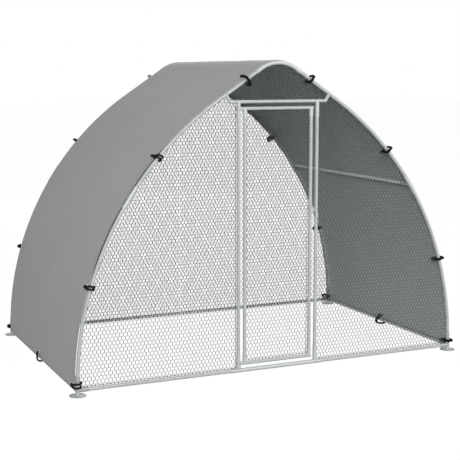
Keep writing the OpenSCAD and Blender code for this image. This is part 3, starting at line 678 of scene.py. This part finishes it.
def sheet_lines(half, count):
    """Mesh lines of the sheet from edge to edge, close together at the hems."""
    middle = np.linspace(-half + SHEET_IN, half - SHEET_IN, count)
    return np.concatenate([-half + HEM_LINES, middle, (half - HEM_LINES)[::-1]])


def make_cover():
    """The sheet, with its outside, its inside and its rim, and with its flat form as UV."""
    q, y = np.meshgrid(sheet_lines(cover_half, LINES_Q), sheet_lines(COVER_Y, LINES_Y), indexing="ij")
    hem_end = HEM - HEM_STEP / 2
    in_hem = (COVER_Y - np.abs(y) < hem_end) | (cover_half - np.abs(q) < hem_end)
    low = COVER_N + cover_swell(q, y)
    rows, cols = q.shape
    faces = []
    for n in (low + COVER_T + np.where(in_hem, HEM_PLY, 0.0), low):
        p, _ = on_arch(q, n)
        faces.append(in_space(p, y).reshape(-1, 3))
    i, j = np.meshgrid(np.arange(rows - 1), np.arange(cols - 1), indexing="ij")
    a = (i * cols + j).ravel()
    top = np.stack([a, a + cols, a + cols + 1, a + 1], -1)
    n_top = rows * cols
    around = np.concatenate([np.arange(cols - 1), np.arange(1, rows) * cols - 1,
                             np.arange(rows * cols - 1, (rows - 1) * cols, -1),
                             np.arange(rows - 1, 0, -1) * cols])
    following = np.roll(around, -1)
    rim = np.stack([around, following, following + n_top, around + n_top], -1)
    sheet = Shape()
    sheet.add(np.concatenate(faces), np.concatenate([top, top[:, ::-1] + n_top, rim]),
              np.concatenate([np.zeros(len(top)), np.ones(len(top)), np.zeros(len(rim))]))
    obj = sheet.piece("cover_sheet", "frame", [outside, inner], "cover")
    mesh = obj.data
    uv = mesh.uv_layers.new(name="Cloth")
    index = np.empty(len(mesh.loops), np.int32)
    mesh.loops.foreach_get("vertex_index", index)
    flat_uv = np.stack([y.ravel(), q.ravel()], -1)[index % n_top]
    uv.data.foreach_set("uv", flat_uv.astype(np.float32).ravel())
    return obj


def stitch_place(uv):
    """Where the points of the stitches lie on the hem, with the direction outward."""
    y, q = uv[..., 0], uv[..., 1]
    p, out = on_arch(q, COVER_N + cover_swell(q, y) + COVER_T + STITCH_LIFT)
    return in_space(p, y), in_space(out, 0 * y)


def stitch_row(shape, fixed, along_q):
    """Short threads lying on the hem, along the arch or across it."""
    reach = (cover_half if along_q else COVER_Y) - STITCH_END
    s = np.arange(-reach, reach, STITCH_PITCH)
    ends = np.stack([s, s + STITCH_L], -1)[..., None]
    other = np.full_like(ends, fixed)
    lines = np.concatenate([other, ends] if along_q else [ends, other], -1)
    add_wires(shape, lines, stitch_place, [STITCH_W, STITCH_W], STITCH_T)


cover = make_cover()
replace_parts(cover, "cover")

stitches = Shape()
for inset in (STITCH_IN, HEM - STITCH_IN):
    for side in (-1, 1):
        stitch_row(stitches, side * (COVER_Y - inset), True)
        stitch_row(stitches, side * (cover_half - inset), False)
stitch_piece = stitches.piece("cover_stitches", "frame", thread, "cover")


# Ties

CORD_R, THIN_R, FULL_R = 0.0055, 0.0026, 0.0072     # radius of the strands, by place
EYELET_CORD_R = 0.0028  # and in the eyelets
BALL_CORD_CUT = 0.0013  # strands are thinner by this near the ball
CORD_Z = 0.0029         # the strands lie this far from the tie's middle where they run together
ON_ARCH_Y = 0.5         # ties farther than this from the middle sit on an arch, the others on a rail
LOW_Z, HIGH_Z = 0.3, 1.2        # ties below are the low ones, ties above the high ones on the bend
CORD_STEPS, CORD_SIDES, BALL_SIDES = 4, 8, 20
# How the ties lie, as the photo shows them: pushed along the tube, hanging and parted
SKEW_RANGE, SAG_RANGE, LOW_SAG = (-0.005, 0.005), (0.004, 0.008), 0.002
ACROSS_SKEW, ACROSS_SAG = -0.012, 0.013         # the high tie at the front left
SPREAD, LEFT_SPREAD, LEFT_LOW_SPREAD = 0.0036, 0.0092, 0.0120
RAIL_SLACK, REAR_SLACK, LEFT_TOP_SLACK = 0.034, 0.030, 0.022
RAIL_REACH, REAR_TOP_REACH = 0.75, 0.70
# Half of a tie's loop, out from the ball, through the eyelet, over the cover, round the tube and back:
# distance outward, distance to the eyelet's side and how far the two strands have parted
HALF_TIE = np.array([
    (-0.0260, 0.0380, 0.0), (-0.0080, 0.0380, 0.0), (0.0100, 0.0380, 0.0), (0.0235, 0.0378, 0.0),
    (0.0304, 0.0350, 0.0), (0.0326, 0.0280, 0.0), (0.0328, 0.0140, 0.0), (0.0322, 0.0, 0.25),
    (0.0282, -0.0149, 0.8), (0.0164, -0.0249, 1.0), (0.0020, -0.0264, 1.0), (-0.0115, -0.0199, 0.95),
    (-0.0190, -0.0080, 0.85), (-0.0200, 0.0050, 0.8)])
# the rest of the half, round the ball, with the distance along the tube
ROUND_BALL = np.array([
    (-0.0192, 0.0190, 0.0086), (-0.0180, 0.0300, 0.0094), (-0.0176, 0.0390, 0.0094),
    (-0.0176, 0.0450, 0.0070), (-0.0176, 0.0478, 0.0030), (-0.0176, 0.0480, 0.0)])
# Where on the loop a change sets in or ends, and over what distance
HANG_OUT = (0.018, 0.012)       # outside the cover the loop hangs
PUSH_PAST, PUSH_IN = (0.0, 0.018), (0.024, 0.04)        # past the tube it is pushed along
REACH_FROM = 0.020              # beyond this it is shortened by reach
SLACK_IN, SLACK_SIDE = (0.0, 0.016), (0.034, 0.020)     # inside the run it has slack
EYELET_SIDE, EYELET_OUT = (0.030, 0.004), (0.026, 0.006)        # in the eyelet it is thin
BALL_SIDE, BALL_DEEP = (0.010, 0.010), (0.0, 0.010)     # near the ball it is a little thinner
CAP_PROFILE = [(0.0104, 0.0), (0.0104, 0.0036), (0.0135, 0.0040), (0.0135, 0.0046), (0.0115, 0.0048)]
BALL_ANGLES = np.radians(np.linspace(20, 180, 13))[1:]
BALL_TIP = 0.00002      # radius of the ball's closed end


def tie_frames():
    """Origin, outward, inward-to-eyelet and along-tube directions of every tie."""
    spots = []
    for sx in (-1, 1):
        for sy in (-1, 1):
            for t in TIE_ANGLES:
                out = np.array([math.cos(t), math.sin(t)])
                p = ARC_C + ARCH_R * out
                spots.append(((sx * p[0], sy * HALF_D, p[1]), (sx * out[0], 0, out[1]), (0, -sy, 0)))
            p = ARC_END + TIE_ARM * ARM_L * UP_T
            spots.append(((sx * p[0], sy * HALF_D, p[1]), (sx * OUT_T[0], 0, OUT_T[1]), (0, -sy, 0)))
        t = math.asin((RAIL_Z + EYELET_IN - LEG_H) / ARCH_R)
        out = np.array([math.cos(t), math.sin(t)])
        up = np.array([-sx * out[1], 0, out[0]])
        p = ARC_C + ARCH_R * out
        on_rail = np.array([sx * p[0], 0, p[1]]) - EYELET_IN * up
        spots.append((on_rail, (sx * out[0], 0, out[1]), up))
    return [tuple(np.asarray(v, float) for v in (o, x, y, np.cross(x, y))) for o, x, y in spots]


def tie_line(spread, sag, skew, reach, slack, thick):
    """The loop of a tie: strands this far apart on the tube, hanging outside and pushed along inside.

    reach is how much of it stands out, slack how far it stands off the tube inside the run, thick the
    radius of its strands.
    """
    out, aside = HALF_TIE[:, 0], HALF_TIE[:, 1]
    moved = sag * rise(out, *HANG_OUT) + skew * rise(-aside, *PUSH_PAST) * fall(out, *PUSH_IN)
    half = np.concatenate([HALF_TIE, ROUND_BALL])
    half[:, 0] -= (1 - reach) * np.maximum(half[:, 0] - REACH_FROM, 0)
    half[:, 0] -= slack * fall(half[:, 0], *SLACK_IN) * fall(half[:, 1], *SLACK_SIDE)
    half[:len(moved), 2] = CORD_Z + (spread - CORD_Z) * HALF_TIE[:, 2]
    back = half * [1, 1, -1]
    for strand in (half, back):
        strand[:len(moved), 2] += moved
    line = smooth_line(np.concatenate([half, back[-2::-1]]), CORD_STEPS)
    out, aside = line[:, 0], line[:, 1]
    in_eyelet = rise(aside, *EYELET_SIDE) * fall(out, *EYELET_OUT)
    at_ball = fall(out, *BALL_DEEP) * rise(aside, *BALL_SIDE)
    full = max(thick, CORD_R)
    cut = np.maximum((full - EYELET_CORD_R) * in_eyelet, BALL_CORD_CUT * at_ball)
    return line, np.minimum(thick, full - cut)


loops, balls = Shape(), Shape()
ball_round = [(BALL_R * math.cos(a), max(BALL_R * math.sin(a), BALL_TIP)) for a in BALL_ANGLES]
for o, x, y, z in tie_frames():
    left, front, rear = o[0] < 0, o[1] < -ON_ARCH_Y, o[1] > ON_ARCH_Y
    low, at_top = o[2] < LOW_Z, o[2] > ARC_END[1]
    on_rail = not (front or rear)
    front_left = left and front and not at_top
    down = -1.0 if z[2] > 0 else 1.0

    across = front_left and o[2] > HIGH_Z
    skew = ACROSS_SKEW if across else rng.uniform(*SKEW_RANGE)
    sag = ACROSS_SAG if across else LOW_SAG if low else rng.uniform(*SAG_RANGE)
    spread = SPREAD
    if front_left:
        spread = LEFT_LOW_SPREAD if low else LEFT_SPREAD

    slack, reach = 0.0, 1.0
    if on_rail:
        slack, reach = RAIL_SLACK, RAIL_REACH
    elif rear:
        slack = REAR_SLACK
        reach = REAR_TOP_REACH if at_top else 1.0
    elif left and at_top:
        slack = LEFT_TOP_SLACK

    thick = CORD_R
    if rear and at_top:
        thick = THIN_R
    elif not left and not front:
        thick = FULL_R

    line, radius = tie_line(spread, down * sag, down * skew, reach, slack, thick)
    add_cord(loops, o + line @ np.stack([x, y, z]), radius, CORD_SIDES)
    add_turned(balls, CAP_PROFILE + ball_round, o - BALL_IN * x + EYELET_IN * y, x, y, BALL_SIDES)
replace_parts(loops.piece("tie_loops", "frame", cord_black, "cord"), "tie_cords")
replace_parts(balls.piece("tie_ball_set", "frame", ball_black, "ball"), "tie_balls")


# Floor, light and camera

FLOOR_HALF = 60.0
FLOOR_TONE = 0.20       # of the part that takes the shadow
FLOOR_GLOW, GLOW_SHARE = 1.22, 0.80
SKY = 0.17              # light of the background on the part; it shows as 1
LAMP_AIM, LAMP_SIZE = (0, 0, 0.9), 4.0
LENS, SENSOR = 84.736, 36.0     # in millimetres
CAMERA_PLACE = (-3.110, -6.9595, 1.9243)
CAMERA_AIM = (0.4091, 0.90105, -0.14404)


def add_object(name, data):
    obj = bpy.data.objects.new(name, data)
    bpy.context.scene.collection.objects.link(obj)
    return obj


def pale_rays(tree):
    """1 for rays that show the background: straight, mirrored or passed through."""
    path = add_node(tree, "ShaderNodeLightPath")
    total = math_node(tree, "ADD", path.outputs["Is Camera Ray"], path.outputs["Is Glossy Ray"])
    return math_node(tree, "ADD", total, path.outputs["Is Transmission Ray"], clamp=True)


def turn_to(obj, direction):
    obj.rotation_mode = "QUATERNION"
    obj.rotation_quaternion = direction.to_track_quat("-Z", "Y")


def area_lamp(name, place, power):
    lamp = bpy.data.lights.new(name, "AREA")
    lamp.shape = "DISK"
    lamp.size = LAMP_SIZE
    lamp.energy = power
    obj = add_object(name, lamp)
    obj.location = place
    turn_to(obj, Vector(LAMP_AIM) - Vector(place))


floor_mat, tree, bsdf = shader("pale_floor", Roughness=0.9, Specular_IOR_Level=0.0)
bsdf.inputs["Base Color"].default_value = (FLOOR_TONE, FLOOR_TONE, FLOOR_TONE, 1)
glow = add_node(tree, "ShaderNodeEmission", Strength=FLOOR_GLOW)
mix = add_node(tree, "ShaderNodeMixShader")
tree.links.new(math_node(tree, "MULTIPLY", pale_rays(tree), GLOW_SHARE), mix.inputs["Fac"])
tree.links.new(bsdf.outputs["BSDF"], mix.inputs[1])
tree.links.new(glow.outputs["Emission"], mix.inputs[2])
tree.links.new(mix.outputs["Shader"], tree.nodes["Material Output"].inputs["Surface"])
floor_mesh = bpy.data.meshes.new("floor")
corners = [(x * FLOOR_HALF, y * FLOOR_HALF, 0) for x, y in ((-1, -1), (1, -1), (1, 1), (-1, 1))]
floor_mesh.from_pydata(corners, [], [(0, 1, 2, 3)])
floor_mesh.materials.append(floor_mat)
floor = add_object("floor", floor_mesh)
floor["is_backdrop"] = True

world = bpy.data.worlds.new("studio")
bpy.context.scene.world = world
world.use_nodes = True
tree = world.node_tree
background = tree.nodes["Background"]
background.inputs["Color"].default_value = (1, 1, 1, 1)
shown = math_node(tree, "MULTIPLY", pale_rays(tree), 1.0 - SKY)
tree.links.new(math_node(tree, "ADD", shown, SKY), background.inputs["Strength"])

area_lamp("key", (-6.86, -11.40, 5.4), 1720.0)
area_lamp("side", (6.6, -9.24, 4.86), 900.0)
area_lamp("rear", (3.0, 9.3, 2.5), 150.0)
area_lamp("top", (0.0, 0.5, 7.5), 20.0)

camera = bpy.data.cameras.new("camera")
camera.lens = LENS
camera.sensor_width = SENSOR
cam = add_object("camera", camera)
cam.location = CAMERA_PLACE
turn_to(cam, Vector(CAMERA_AIM))
bpy.context.scene.camera = cam
bpy.context.scene.view_settings.view_transform = "Standard"

low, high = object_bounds()
